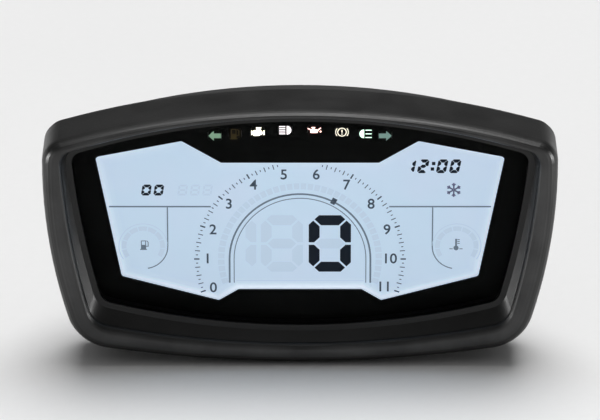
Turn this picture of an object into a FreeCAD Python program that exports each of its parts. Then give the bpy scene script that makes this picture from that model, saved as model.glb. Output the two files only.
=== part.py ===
"""Motorcycle instrument cluster: a liquid-crystal dash with a row of warning lights, in a sealed housing.

Millimetres. X runs to the rider's right, Y points away from the rider, Z is up the face of the display.
The origin is midway between the two upper mounting bushes, on the plane where they meet the bracket.
Heights on the face are given from the centre of the rev counter, which lies DIAL_Z below the origin.
"""

import FreeCAD
import Part

import math
import os

V = FreeCAD.Vector

# ---------------------------------------------------------------- driving dimensions
DIAL_Z = -30.0  # height of the rev counter's centre in the part's frame

# Depths along Y, from the rider's side to the bracket's side.
CREST_Y = -52.0  # foremost edge of the bezel
SHOULDER_Y = -47.0  # where the bezel's outer side starts to roll over
BROW_Y = -49.6  # where the crest has rolled over into the sloping inner wall
LEDGE_Y = -46.8  # foot of the sloping inner wall
GASKET_Y = -46.1
LENS_Y = -45.6
SPACER_Y = -43.1
MASK_Y = -41.0
CUSHION_Y = -40.2
GLASS_Y = -39.8
REAR_GLASS_Y = -38.7
REAR_POLARIZER_Y = -37.6
DIFFUSER_Y = -37.4
GUIDE_Y = -37.0
REFLECTOR_Y = -34.0
TRAY_FLOOR_Y = -33.8
TRAY_BACK_Y = -32.2
BOARD_Y = -32.0
BOARD_BACK_Y = -30.4
SKIRT_Y = -30.6  # rear edge of the bezel's skirt
FLANGE_Y = -30.0
FLANGE_BACK_Y = -27.5
FLOOR_Y = -16.5  # inside of the rear wall
BACK_Y = -14.0  # outside of the rear wall
BOSS_Y = -4.0
GROMMET_Y = -1.5
MOUNT_Y = 0.0

# Wall thicknesses and gaps.
SKIRT_WALL = 2.2
COLLAR_WALL = 1.5
TUB_WALL = 2.2
LEDGE_WIDTH = 2.0
RIB_WALL = 1.4
SLIP = 0.1  # gap between pieces that drop into each other

# How far the pieces of the front run outside the clear window.
SEAT_MARGIN = 2.5  # the lens's pocket in the bezel
LENS_MARGIN = 2.4
MASK_MARGIN = 1.6
SEAL_WIDTH = 1.9  # of the lens's gasket and spacer

# Mounting points, as (x, height from the dial centre).
UPPER_MOUNT_X = 56.0
LOWER_MOUNT = (0.0, -12.0)
MOUNTS = [(-UPPER_MOUNT_X, -DIAL_Z), (UPPER_MOUNT_X, -DIAL_Z), LOWER_MOUNT]
THREAD_R = 2.5  # tapping radius of an M6 thread

BOSS_R = 10.6
BOSS_BORE_R = 7.0

# Fasteners.
CASE_SCREWS = [(side * x, z) for side in (-1, 1) for x, z in ((79.2, 27.0), (74.4, -10.0), (32.0, -27.6))]
BOARD_SCREWS = [(side * x, z) for side in (-1, 1) for x, z in ((45.0, 33.0), (59.0, -15.5))]
SCREW_BOSS_R = 2.9  # posts inside the bezel
BOARD_POST_R = 3.0  # posts inside the case
LATCHES = [-40.0, 0.0, 40.0]  # along the top edge
LATCH_SIZE = (10.0, 3.4)  # along the edge, and along Y
LATCH_Y = -36.8

# The display's visible outline, right half from the top notch down, and the warning lights above it.
DISPLAY_HALF = [(26.0, 35.0), (39.0, 42.7), (67.5, 37.0), (59.3, -6.0), (27.0, -14.8), (20.5, -10.8)]
LIGHTS_HALF = [(4.7, 46.6), (13.8, 45.9), (21.4, 45.3), (28.0, 44.6)]
LIGHTS = [(-x, z) for x, z in reversed(LIGHTS_HALF)] + LIGHTS_HALF
LIGHT_COLOURS = ["green", "amber", "amber", "white", "red", "amber", "green", "green"]
LIGHT_SIZE = (4.4, 3.6)

# The display's sheets, by how far they run outside its visible outline, and the lamps along its sides.
POLARIZER_EDGE = 1.5
GLASS_EDGE = 2.5
TRAY_EDGE = 4.3
TAB = (24.0, -18.4)  # half width and foot of the front glass's connection ledge
BACKLIGHTS = [(side * x, z) for side in (-1, 1) for x, z in ((66.9, 25.0), (64.2, 11.0), (61.6, -2.0))]
BACKLIGHT_SIZE = (1.4, 3.4)

# The socket for the wiring loom, on the rear wall.
SOCKET = (0.0, 13.0)
SOCKET_SIZE = (39.6, 13.6)
SOCKET_MOUTH_Y = -5.0
SOCKET_FLOOR_Y = -18.0
PIN_TIP_Y = -11.0
PIN_PITCH = 3.2
PIN_ROWS = 2
PIN_COLUMNS = 10

# The breather and the label on the rear wall.
VENT = (-34.0, -6.0)
VENT_R = 5.2
LABEL = (33.0, -5.0)
LABEL_SIZE = (34.0, 15.0)


# ---------------------------------------------------------------- geometry helpers
def at(x, y, z):
    """A point, with its height measured from the centre of the rev counter."""
    return V(x, y, z + DIAL_Z)


def box(x, y, z):
    """A block between (low, high) pairs along each axis."""
    return Part.makeBox(x[1] - x[0], y[1] - y[0], z[1] - z[0], at(x[0], y[0], z[0]))


def block(centre, size, y0, y1):
    """A block of size (width, height) about a point on the face, from depth y0 to y1."""
    (x, z), (w, h) = centre, size
    return box((x - w / 2, x + w / 2), (y0, y1), (z - h / 2, z + h / 2))


def rod(centre, radius, y0, y1, end_radius=None):
    """A round post along Y, or a cone when it ends at another radius."""
    base, along = at(centre[0], y0, centre[1]), V(0, 1, 0)
    if end_radius is None:
        return Part.makeCylinder(radius, y1 - y0, base, along)
    return Part.makeCone(radius, end_radius, y1 - y0, base, along)


def fuse(shapes):
    first, *rest = shapes
    return first.multiFuse(rest).removeSplitter() if rest else first


def cut(shape, tools):
    return shape.cut(tools) if tools else shape


def unit(x, z):
    length = math.hypot(x, z)
    return x / length, z / length


def arc(centre, radius, start, end, y):
    """The shorter arc about a centre between two points on the face, at depth y."""
    (x, z), (ax, az), (bx, bz) = centre, start, end
    mx, mz = unit((ax + bx) / 2 - x, (az + bz) / 2 - z)
    return Part.Arc(at(ax, y, az), at(x + mx * radius, y, z + mz * radius), at(bx, y, bz)).toShape()


class Outline:
    """A closed outline: four shallow outward arcs (top, right, bottom, left) and rounded corners."""

    def __init__(self, top, bottom, crown, bow, belly, radii):
        """top and bottom are (half width, height) of the sharp corners, and crown, bow and belly how far
        the top, the sides and the bottom bulge. radii are those of the top and bottom corners."""
        self.sides = [
            self.bulge((-top[0], top[1]), top, crown),
            self.bulge(top, bottom, bow),
            self.bulge(bottom, (-bottom[0], bottom[1]), belly),
            self.bulge((-bottom[0], bottom[1]), (-top[0], top[1]), bow),
        ]
        self.radii = [radii[0], radii[1], radii[1], radii[0]]

    @staticmethod
    def bulge(a, b, rise):
        """The circle (x, z, radius) through a and b that rises to the left of the way from b to a."""
        half = math.hypot(b[0] - a[0], b[1] - a[1]) / 2
        radius = (half * half + rise * rise) / (2 * rise)
        nx, nz = unit(a[1] - b[1], b[0] - a[0])
        return ((a[0] + b[0]) / 2 - nx * (radius - rise), (a[1] + b[1]) / 2 - nz * (radius - rise), radius)

    def grown(self, by):
        """The outline that runs this far outside it, or inside it if by is negative."""
        other = Outline.__new__(Outline)
        other.sides = [(x, z, r + by) for x, z, r in self.sides]
        other.radii = [max(r + by, 0.6) for r in self.radii]
        return other

    def corner(self, i):
        """The rounded corner that follows side i: its centre and the points where it starts and ends."""
        (ax, az, ar), (bx, bz, br), r = self.sides[i], self.sides[(i + 1) % 4], self.radii[i]
        ra, rb, gap = ar - r, br - r, math.hypot(bx - ax, bz - az)
        ux, uz = unit(bx - ax, bz - az)
        along = (ra * ra - rb * rb + gap * gap) / (2 * gap)
        off = math.sqrt(ra * ra - along * along)
        cx, cz = ax + ux * along + uz * off, az + uz * along - ux * off
        (sx, sz), (ex, ez) = unit(cx - ax, cz - az), unit(cx - bx, cz - bz)
        return (cx, cz), (ax + sx * ar, az + sz * ar), (bx + ex * br, bz + ez * br)

    def wire(self, y):
        corners = [self.corner(i) for i in range(4)]
        edges = []
        for i in range(4):
            side_start, side_end = corners[i - 1][2], corners[i][1]
            x, z, r = self.sides[i]
            edges.append(arc((x, z), r, side_start, side_end, y))
            centre, start, end = corners[i]
            edges.append(arc(centre, self.radii[i], start, end, y))
        return Part.Wire(edges)

    def towards(self, other, share):
        """The outline this share of the way to another one."""
        def mix(ours, theirs):
            return [a + (b - a) * share for a, b in zip(ours, theirs)]

        mixed = Outline.__new__(Outline)
        mixed.sides = [mix(a, b) for a, b in zip(self.sides, other.sides)]
        mixed.radii = mix(self.radii, other.radii)
        return mixed

    def slab(self, y0, y1):
        return Part.Face(self.wire(y0)).extrude(V(0, y1 - y0, 0))

    def taper(self, y0, other, y1):
        return Part.makeLoft([self.wire(y0), other.wire(y1)], True, True)

    def ring(self, width, y0, y1):
        """A band just inside the outline."""
        return self.slab(y0, y1).cut(self.grown(-width).slab(y0 - 1, y1 + 1))


def rolled(start, end, y0, y1, bulging, steps=6):
    """A rounded edge between two outlines, in stages. It sets off along Y if bulging, and inwards if not."""
    stages = []
    for i in range(steps + 1):
        turn = math.pi / 2 * i / steps
        inwards, along = math.sin(turn), 1 - math.cos(turn)
        if bulging:
            inwards, along = 1 - math.cos(turn), math.sin(turn)
        stages.append((start.towards(end, inwards), y0 + (y1 - y0) * along))
    return [a.taper(ya, b, yb) for (a, ya), (b, yb) in zip(stages, stages[1:])]


def mirrored(half):
    """A closed outline from its right half, listed from top to bottom."""
    return half + [(-x, z) for x, z in reversed(half)]


def grown(points, by):
    """A polygon, listed clockwise, with every side moved out by the same distance."""
    n, out = len(points), []
    for i in range(n):
        (px, pz), (x, z), (qx, qz) = points[i - 1], points[i], points[(i + 1) % n]
        (ax, az), (bx, bz) = unit(x - px, z - pz), unit(qx - x, qz - z)
        share = by / (1 + ax * bx + az * bz)
        out.append((x - (az + bz) * share, z + (ax + bx) * share))
    return out


def rounded(points, radii, place):
    """The wire through the points with its corners rounded. place turns a pair into a point in space."""
    n, edges, ends = len(points), [], []
    for i in range(n):
        (px, pz), (x, z), (qx, qz), r = points[i - 1], points[i], points[(i + 1) % n], radii[i]
        (ax, az), (bx, bz) = unit(px - x, pz - z), unit(qx - x, qz - z)
        half = math.acos(max(-1.0, min(1.0, ax * bx + az * bz))) / 2
        reach, out = r / math.tan(half), r / math.sin(half) - r
        mx, mz = unit(ax + bx, az + bz)
        start, end = (x + ax * reach, z + az * reach), (x + bx * reach, z + bz * reach)
        ends.append((start, (x + mx * out, z + mz * out), end))
    for i in range(n):
        start, middle, end = ends[i]
        if radii[i] > 0:
            edges.append(Part.Arc(place(*start), place(*middle), place(*end)).toShape())
        edges.append(Part.LineSegment(place(*end), place(*ends[(i + 1) % n][0])).toShape())
    return Part.Wire(edges)


def plate(points, y0, y1, radius=1.0):
    """A flat plate with rounded corners, from depth y0 to y1."""
    wire = rounded(points, [radius] * len(points), lambda x, z: at(x, y0, z))
    return Part.Face(wire).extrude(V(0, y1 - y0, 0))


def rectangle(centre, size):
    (x, z), w, h = centre, size[0] / 2, size[1] / 2
    return [(x - w, z + h), (x + w, z + h), (x + w, z - h), (x - w, z - h)]


def larger(size, by):
    return size[0] + by, size[1] + by


def turned(profile, centre):
    """A solid of revolution about a line along Y through a point on the face, from (radius, y) pairs."""
    section = [at(centre[0] + r, y, centre[1]) for r, y in profile]
    face = Part.Face(Part.makePolygon(section + section[:1]))
    return face.revolve(at(centre[0], 0, centre[1]), V(0, 1, 0), 360)


# ---------------------------------------------------------------- shared outlines
SKIRT = Outline((84.5, 44.0), (74.0, -27.0), 13.0, 3.5, 6.5, (7.5, 16.0))
CREST_OUTER = Outline((80.0, 42.9), (70.3, -22.9), 12.9, 3.4, 6.2, (5.0, 12.5))
CREST_INNER = Outline((79.2, 42.6), (69.6, -21.6), 12.9, 2.6, 6.8, (4.6, 11.0))
BROW = Outline((78.4, 41.6), (68.6, -18.6), 13.1, 1.8, 7.4, (5.5, 8.0))
WINDOW = Outline((75.3, 40.1), (65.8, -12.2), 11.9, 1.2, 8.8, (4.0, 5.0))
TUB = Outline((75.5, 41.5), (65.5, -20.0), 12.5, 3.0, 4.5, (8.0, 10.0))
DISPLAY = mirrored(DISPLAY_HALF)
LIGHT_BOX = mirrored([(6.0, 50.6), (33.4, 48.4), (33.4, 43.3), (24.0, 39.6)])


def tell_tale(i, grow, y0, y1, radius=0.8):
    w, h = LIGHT_SIZE
    return plate(rectangle(LIGHTS[i], (w + 2 * grow, h + 2 * grow)), y0, y1, radius)


# ---------------------------------------------------------------- housing
def latch_span(x, grow, y0, y1):
    """The stretch of the top edge that one latch, or its recess, takes up."""
    half = LATCH_SIZE[0] / 2 + grow
    return box((x - half, x + half), (y0, y1), (45, 60))


def latch_recesses():
    """The blind pockets inside the bezel's skirt that the case's latches snap into."""
    y0, y1 = LATCH_Y - 0.3, LATCH_Y + LATCH_SIZE[1] + 0.3
    return [SKIRT.grown(-0.8).slab(y0, y1).common(latch_span(x, 0.4, y0, y1)) for x in LATCHES]


def front_bezel():
    """The moulded surround: skirt, rounded rim, sloping inner wall and the collar that holds the lens."""
    pilot_r, pilot_y = 1.25, -44.0
    hollow_y, deep_y = -46.0, -49.0
    body = fuse([SKIRT.slab(SHOULDER_Y, SKIRT_Y)] + rolled(SKIRT, CREST_OUTER, SHOULDER_Y, CREST_Y, True))
    inside, seat = SKIRT.grown(-SKIRT_WALL), WINDOW.grown(SEAT_MARGIN)
    body = cut(body, rolled(CREST_INNER, BROW, CREST_Y, BROW_Y, False) + [
        BROW.taper(BROW_Y, WINDOW.grown(LEDGE_WIDTH), LEDGE_Y),
        WINDOW.slab(LEDGE_Y - 1, LENS_Y),
        seat.slab(GASKET_Y, CUSHION_Y),
        inside.slab(CUSHION_Y, SKIRT_Y + 1),
        inside.slab(hollow_y, CUSHION_Y).cut(seat.grown(COLLAR_WALL).slab(hollow_y, CUSHION_Y)),
        inside.grown(-0.8).slab(deep_y, hollow_y).cut(BROW.grown(1.6).slab(deep_y, hollow_y)),
    ])
    body = fuse([body] + [rod(p, SCREW_BOSS_R, hollow_y, FLANGE_Y) for p in CASE_SCREWS])
    body = cut(body, [rod(p, pilot_r, pilot_y, FLANGE_Y + 1) for p in CASE_SCREWS])
    return cut(body, latch_recesses())


def lens():
    """The clear window. Its rim lies behind the bezel's ledge."""
    return WINDOW.grown(LENS_MARGIN).slab(LENS_Y, SPACER_Y)


def lens_gasket():
    return WINDOW.grown(LENS_MARGIN).ring(SEAL_WIDTH, GASKET_Y, LENS_Y)


def lens_spacer():
    """The black frame that keeps the lens off the dial mask."""
    return WINDOW.grown(LENS_MARGIN).ring(SEAL_WIDTH, SPACER_Y, MASK_Y)


def tub_shell():
    """The hollow tub with its flange, rounded along its rear edge."""
    rear = TUB.grown(-1.5)
    flange = SKIRT.grown(-0.8).slab(FLANGE_Y, FLANGE_BACK_Y)
    shell = fuse([flange, TUB.taper(FLANGE_BACK_Y - 1, rear, BACK_Y)])
    rim = [e for e in shell.Edges if all(abs(v.Y - BACK_Y) < 1e-6 for v in e.Vertexes)]
    shell = shell.makeFillet(2.6, rim)
    return shell.cut(TUB.grown(-TUB_WALL).taper(FLANGE_Y - 1, rear.grown(-TUB_WALL), FLOOR_Y))


def tongue_and_latches():
    """The low wall that centres the case in the bezel's skirt, and the three latches that stand on it."""
    inner = SKIRT.grown(-SKIRT_WALL - 0.15)
    tongue = inner.ring(1.3, FLANGE_Y - 2.6, FLANGE_Y)
    made = [cut(tongue, [rod(p, SCREW_BOSS_R + 0.3, FLANGE_Y - 5, FLANGE_Y) for p in CASE_SCREWS])]
    strap = inner.ring(1.8, LATCH_Y, FLANGE_Y)
    hook = SKIRT.grown(-1.0).ring(2.0, LATCH_Y, LATCH_Y + LATCH_SIZE[1])
    for x in LATCHES:
        made += [s.common(latch_span(x, 0, LATCH_Y - 1, FLANGE_Y)) for s in (strap, hook)]
    return made


def case_holes():
    """Everything cut through the rear case or into it."""
    holes = [rod(p, BOSS_BORE_R, BACK_Y + 0.5, BOSS_Y + 1) for p in MOUNTS]
    holes += [rod(p, 1.7, FLANGE_Y - 5, FLANGE_BACK_Y + 1) for p in CASE_SCREWS]
    holes += [rod(p, 3.3, FLANGE_BACK_Y, BACK_Y + 1) for p in CASE_SCREWS]
    holes += [rod(p, 1.1, BOARD_BACK_Y - 1, FLOOR_Y - 4) for p in BOARD_SCREWS]
    holes.append(plate(rectangle(SOCKET, larger(SOCKET_SIZE, 3.0)), BACK_Y, BACK_Y + 9, 1.6))
    holes.append(plate(rectangle(SOCKET, larger(SOCKET_SIZE, 0.4)), FLOOR_Y - 1, BACK_Y + 1, 1.2))
    holes.append(rod(VENT, VENT_R, BACK_Y + 0.6, BACK_Y + 4))
    holes.append(rod(VENT, 1.6, FLOOR_Y - 1, BACK_Y + 2))
    holes.append(plate(rectangle(LABEL, LABEL_SIZE), BACK_Y - 0.6, BACK_Y + 4, 1.5))
    return holes


def rear_case():
    """The tub behind the display: latches, bosses, ribs, and collars for the socket and the breather."""
    posts = [rod(p, BOARD_POST_R, BOARD_BACK_Y, FLOOR_Y + 1) for p in BOARD_SCREWS]
    bosses = [rod(p, BOSS_R, BACK_Y - 1, BOSS_Y, BOSS_R - 0.8) for p in MOUNTS]
    socket_collar = plate(rectangle(SOCKET, larger(SOCKET_SIZE, 7.4)), BACK_Y - 1, BACK_Y + 4.5, 3.0)
    vent_collar = rod(VENT, VENT_R + 2.2, BACK_Y - 1, BACK_Y + 2.2, VENT_R + 1.8)
    case = fuse([tub_shell(), socket_collar, vent_collar] + tongue_and_latches() + posts + bosses + ribs())
    return cut(case, case_holes())


def gusset(centre, turn):
    """A triangular web against a mounting boss, turned this many degrees about it."""
    x, z = centre
    foot, top, reach = BACK_Y - 0.5, BOSS_Y - 2.5, 15.0
    corners = [(8.5, foot), (reach, foot), (reach, BACK_Y + 0.8), (10.6, top), (8.5, top)]
    outline = [at(x + out, y, z - RIB_WALL / 2) for out, y in corners]
    web = Part.Face(Part.makePolygon(outline + outline[:1])).extrude(V(0, 0, RIB_WALL))
    web.rotate(at(x, 0, z), V(0, -1, 0), turn)
    return web


def ribs():
    """Gussets about the mounting bosses, and a low grid of ribs over the rear wall."""
    made = []
    for centre, turns in zip(MOUNTS, ((45, 135, 225, 315), (45, 135, 225, 315), (0, 180))):
        made += [gusset(centre, turn) for turn in turns]
    low, high, across = BACK_Y - 0.5, BACK_Y + 2.2, MOUNTS[0][1]
    made.append(block((0.0, across), (2 * UPPER_MOUNT_X - 18.0, RIB_WALL), low, high))
    for side in (-1, 1):
        made.append(block((side * 28.0, 28.0), (RIB_WALL, 42.0), low, high))
        made.append(block((side * 14.0, 36.0), (RIB_WALL, 26.0), low, high))
        made.append(block((side * 44.0, SOCKET[1]), (42.0, RIB_WALL), low, high))
    return [m.common(TUB.grown(-4.5).slab(BACK_Y - 2, MOUNT_Y)) for m in made]


def case_gasket():
    """The flat seal between the bezel's skirt and the case's flange."""
    seal = SKIRT.grown(-0.6).ring(1.4, SKIRT_Y, FLANGE_Y)
    return cut(seal, [rod(p, SCREW_BOSS_R + SLIP, SKIRT_Y - 1, FLANGE_Y + 1) for p in CASE_SCREWS])


def screw(centre, seat_y, head, shank, tip_y):
    """A pan-head screw with a six-lobed socket. head is (radius, height), and bears on the plane seat_y."""
    (head_r, head_h), sign = head, 1 if tip_y < seat_y else -1
    top = seat_y + sign * head_h
    dome = head_h * 0.35
    profile = [
        (0, tip_y), (shank * 0.45, tip_y), (shank, tip_y + sign * 1.6), (shank, seat_y), (head_r, seat_y),
        (head_r, top - sign * dome), (head_r * 0.72, top), (0, top),
    ]
    body = turned(profile, centre)
    lobe, reach = head_r * 0.2, head_r * 0.38
    floor, over = top - sign * head_h * 0.6, top + sign
    low, high = min(floor, over), max(floor, over)
    socket = [rod(centre, reach * 0.92, low, high)]
    for i in range(6):
        turn = math.radians(60 * i)
        point = (centre[0] + reach * math.cos(turn), centre[1] + reach * math.sin(turn))
        socket.append(rod(point, lobe, low, high))
    return cut(body, [fuse(socket)])


def case_screws():
    return [screw(p, FLANGE_BACK_Y, (2.9, 2.2), 1.2, -42.0) for p in CASE_SCREWS]


def board_screws():
    return [screw(p, BOARD_Y, (2.5, 1.4), 1.05, -24.5) for p in BOARD_SCREWS]


def isolator_grommets():
    """Rubber sleeves with a shoulder, one pressed into each mounting boss."""
    inner, barrel, shoulder = 4.3, BOSS_BORE_R - 0.05, 9.4
    floor, groove = BACK_Y + 0.6, 0.5
    profile = [
        (inner, floor), (barrel - 0.8, floor), (barrel, floor + 0.8), (barrel, BOSS_Y),
        (shoulder - groove, BOSS_Y), (shoulder, BOSS_Y + groove), (shoulder, GROMMET_Y - groove),
        (shoulder - groove, GROMMET_Y), (inner, GROMMET_Y),
    ]
    return [turned(profile, p) for p in MOUNTS]


def mount_bushes():
    """Flanged threaded bushes in the grommets. The bracket's screws go into them."""
    barrel, flange, floor, chamfer = 4.2, 7.4, BACK_Y + 0.8, 0.4
    profile = [
        (THREAD_R, floor), (barrel - 0.5, floor), (barrel, floor + 0.5), (barrel, GROMMET_Y),
        (flange, GROMMET_Y), (flange, MOUNT_Y - chamfer), (flange - chamfer, MOUNT_Y), (THREAD_R, MOUNT_Y),
    ]
    return [turned(profile, p) for p in MOUNTS]


def vent_membrane():
    return rod(VENT, VENT_R - 0.2, BACK_Y + 0.6, BACK_Y + 0.9)


def vent_cap():
    """A slotted cap over the breather's membrane."""
    rim, crown = VENT_R - SLIP, 4.3
    cap = turned([(0, BACK_Y + 1.3), (3.8, BACK_Y + 1.3), (3.8, BACK_Y + 0.9), (rim, BACK_Y + 0.9),
                  (rim, BACK_Y + 2.6), (crown, BACK_Y + 3.2), (0, BACK_Y + 3.2)], VENT)
    slots = []
    for i in range(4):
        slot = block(VENT, (1.1, 5.6), BACK_Y + 1.0, BACK_Y + 2.4)
        slot.translate(V(4.4, 0, 0))
        slot.rotate(at(VENT[0], 0, VENT[1]), V(0, 1, 0), 90 * i)
        slots.append(slot)
    return cut(cap, slots)


def rating_label():
    """A blank plate in the recess of the rear wall."""
    return plate(rectangle(LABEL, larger(LABEL_SIZE, -0.6)), BACK_Y - 0.6, BACK_Y - 0.25, 1.2)


# ---------------------------------------------------------------- dial and warning lights
def dial_mask():
    """The printed black mask, with the display's window and the warning lights' windows."""
    mask = WINDOW.grown(MASK_MARGIN).slab(MASK_Y, CUSHION_Y)
    return cut(mask, [plate(DISPLAY, MASK_Y - 1, CUSHION_Y + 1, 1.2)]
               + [tell_tale(i, 0.05, MASK_Y - 1, CUSHION_Y + 1) for i in range(len(LIGHTS))])


def tell_tale_windows(colour):
    return [tell_tale(i, 0, MASK_Y, CUSHION_Y) for i, c in enumerate(LIGHT_COLOURS) if c == colour]


def tell_tale_diffuser():
    return plate(grown(LIGHT_BOX, -0.1), CUSHION_Y, CUSHION_Y + 0.3, 0.8)


def tell_tale_light_box():
    """The block of cells that keeps each lamp's light to its own window."""
    body = plate(LIGHT_BOX, CUSHION_Y + 0.3, TRAY_BACK_Y, 0.8)
    return cut(body, [tell_tale(i, 0.35, CUSHION_Y, TRAY_BACK_Y + 1, 0.6) for i in range(len(LIGHTS))])


def tell_tale_leds():
    return [block(p, (2.8, 2.2), BOARD_Y - 0.9, BOARD_Y) for p in LIGHTS]


# ---------------------------------------------------------------- liquid-crystal display and its backlight
def display_sheet(edge, y0, y1):
    return plate(grown(DISPLAY, edge), y0, y1, 0.6)


def lcd_front_polarizer():
    return display_sheet(POLARIZER_EDGE, GLASS_Y - 0.2, GLASS_Y)


def lcd_front_glass():
    ledge = box((-TAB[0], TAB[0]), (GLASS_Y, REAR_GLASS_Y), (TAB[1], -8))
    return fuse([display_sheet(GLASS_EDGE, GLASS_Y, REAR_GLASS_Y), ledge])


def lcd_rear_glass():
    return display_sheet(GLASS_EDGE, REAR_GLASS_Y, REAR_POLARIZER_Y)


def lcd_rear_polarizer():
    return display_sheet(POLARIZER_EDGE, REAR_POLARIZER_Y, DIFFUSER_Y)


def lcd_driver_chip():
    return box((-10, 10), (REAR_GLASS_Y, REAR_GLASS_Y + 0.5), (-14.9, -13.7))


def lcd_flex_cable():
    """The ribbon from the glass's ledge, round the foot of the board, to its connector behind."""
    half, thick, top_z, turn_z, end_z, back_y = 11.0, 0.3, -15.4, -20.7, -16.2, -29.2
    front = REAR_GLASS_Y
    outer = [(front, top_z), (front, turn_z), (back_y + thick, turn_z), (back_y + thick, end_z)]
    fold_z, fold_y = turn_z + thick, front + thick
    inner = [(back_y, end_z), (back_y, fold_z), (fold_y, fold_z), (fold_y, top_z)]
    radii = [0, 1.2, 1.2, 0, 0, 0.9, 0.9, 0]
    wire = rounded(outer + inner, radii, lambda y, z: at(-half, y, z))
    return Part.Face(wire).extrude(V(2 * half, 0, 0))


def lcd_cushion():
    """The foam frame between the glass and the mask."""
    sheet = display_sheet(TRAY_EDGE - 0.2, CUSHION_Y, GLASS_Y)
    opening = display_sheet(POLARIZER_EDGE + 0.2, CUSHION_Y - 1, GLASS_Y + 1)
    return cut(sheet, [opening, plate(grown(LIGHT_BOX, SLIP), CUSHION_Y - 1, GLASS_Y + 1, 0.8)])


def backlight_pockets(grow, y0, y1):
    w, h = BACKLIGHT_SIZE
    return [block(p, (w + 2 * grow, h + 2 * grow), y0, y1) for p in BACKLIGHTS]


def diffuser_sheet():
    return display_sheet(GLASS_EDGE, DIFFUSER_Y, GUIDE_Y)


def light_guide():
    guide = display_sheet(GLASS_EDGE, GUIDE_Y, REFLECTOR_Y)
    return cut(guide, backlight_pockets(SLIP, GUIDE_Y - 1, REFLECTOR_Y + 1))


def reflector_sheet():
    sheet = display_sheet(GLASS_EDGE, REFLECTOR_Y, TRAY_FLOOR_Y)
    return cut(sheet, backlight_pockets(SLIP, REFLECTOR_Y - 1, TRAY_FLOOR_Y + 1))


def backlight_tray():
    """The white tray that holds the light guide and the glass."""
    tray = display_sheet(TRAY_EDGE, GLASS_Y, TRAY_BACK_Y)
    tray = tray.cut(display_sheet(GLASS_EDGE + SLIP, GLASS_Y - 1, TRAY_FLOOR_Y))
    holes = backlight_pockets(SLIP, GLASS_Y - 1, TRAY_BACK_Y + 1)
    holes += [rod(p, 3.2, TRAY_FLOOR_Y - 1, TRAY_BACK_Y + 1) for p in BOARD_SCREWS]
    holes.append(box((-TAB[0] - 0.5, TAB[0] + 0.5), (GLASS_Y - 1, TRAY_FLOOR_Y), (-25, -9)))
    holes.append(plate(grown(LIGHT_BOX, SLIP), GLASS_Y - 1, TRAY_BACK_Y + 1, 0.8))
    tails = (PIN_PITCH * PIN_COLUMNS, PIN_PITCH * PIN_ROWS)
    holes.append(block(SOCKET, tails, TRAY_BACK_Y - 1.2, TRAY_BACK_Y + 1))
    return cut(tray, holes)


def backlight_leds():
    return [block(p, BACKLIGHT_SIZE, GUIDE_Y + 0.2, BOARD_Y) for p in BACKLIGHTS]


# ---------------------------------------------------------------- circuit board
def pin_places():
    x0 = SOCKET[0] - PIN_PITCH * (PIN_COLUMNS - 1) / 2
    z0 = SOCKET[1] - PIN_PITCH * (PIN_ROWS - 1) / 2
    return [(x0 + PIN_PITCH * c, z0 + PIN_PITCH * r) for r in range(PIN_ROWS) for c in range(PIN_COLUMNS)]


def main_board():
    board = TUB.grown(-3.2).slab(BOARD_Y, BOARD_BACK_Y)
    holes = [rod(p, 1.3, BOARD_Y - 1, BOARD_BACK_Y + 1) for p in BOARD_SCREWS]
    holes += [rod(p, 0.6, BOARD_Y - 1, BOARD_BACK_Y + 1) for p in pin_places()]
    holes.append(plate(rectangle((0.0, -23.6), (25.0, 8.0)), BOARD_Y - 1, BOARD_BACK_Y + 1, 1.0))
    return cut(board, holes)


def chip(centre, size, height, legs, rows):
    """A chip package on the back of the board, with bent legs on two or four sides. rows is 2 or 4."""
    (x, z), (w, h) = centre, size
    foot, pitch, lift = BOARD_BACK_Y, 1.27, 0.25
    made = [block(centre, size, foot + lift, foot + height)]
    for i in range(legs):
        along = (i - (legs - 1) / 2) * pitch
        for side in (-1, 1):
            spots = [((x + along, z + side * (h / 2 + 0.5)), (0.4, 1.4))]
            if rows == 4:
                spots.append(((x + side * (w / 2 + 0.5), z + along), (1.4, 0.4)))
            for place, leg in spots:
                made.append(block(place, leg, foot, foot + 0.5))
    return fuse(made)


def microcontroller():
    return chip((-42.0, 14.0), (14.0, 14.0), 1.6, 9, 4)


def display_driver():
    return chip((36.0, 9.0), (12.8, 7.5), 2.4, 9, 2)


def bus_transceiver():
    return chip((-30.0, -4.0), (5.0, 4.0), 1.7, 4, 2)


def power_regulator():
    """A tabbed regulator package lying on its tab."""
    body = block((26.0, 27.0), (6.6, 6.2), BOARD_BACK_Y + 0.5, BOARD_BACK_Y + 2.4)
    tab = block((26.0, 29.4), (5.4, 4.6), BOARD_BACK_Y, BOARD_BACK_Y + 0.5)
    legs = [block((26.0 + dx, 23.0), (0.8, 3.0), BOARD_BACK_Y, BOARD_BACK_Y + 0.9) for dx in (-2.3, 2.3)]
    return fuse([body, tab] + legs)


def power_inductor():
    body = plate(rectangle((-22.0, 28.0), (10.0, 10.0)), BOARD_BACK_Y, BOARD_BACK_Y + 4.5, 1.5)
    return body.cut(rod((-22.0, 28.0), 3.2, BOARD_BACK_Y + 4.1, BOARD_BACK_Y + 5))


def smoothing_capacitors():
    made = []
    radius, waist, foot, top = 4.0, 3.7, BOARD_BACK_Y + 1.0, BOARD_BACK_Y + 9.9
    profile = [(0, foot), (radius, foot), (radius, foot + 0.6), (waist, foot + 1.0), (radius, foot + 1.4),
               (radius, top - 0.5), (radius - 0.5, top), (0, top)]
    for place in ((52.0, 14.0), (52.0, 24.5)):
        base = plate(rectangle(place, (8.3, 8.3)), BOARD_BACK_Y, foot, 1.2)
        made.append(fuse([base, turned(profile, place)]))
    return made


def quartz_crystal():
    return plate(rectangle((-53.5, 14.0), (3.4, 5.2)), BOARD_BACK_Y, BOARD_BACK_Y + 1.3, 0.5)


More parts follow.
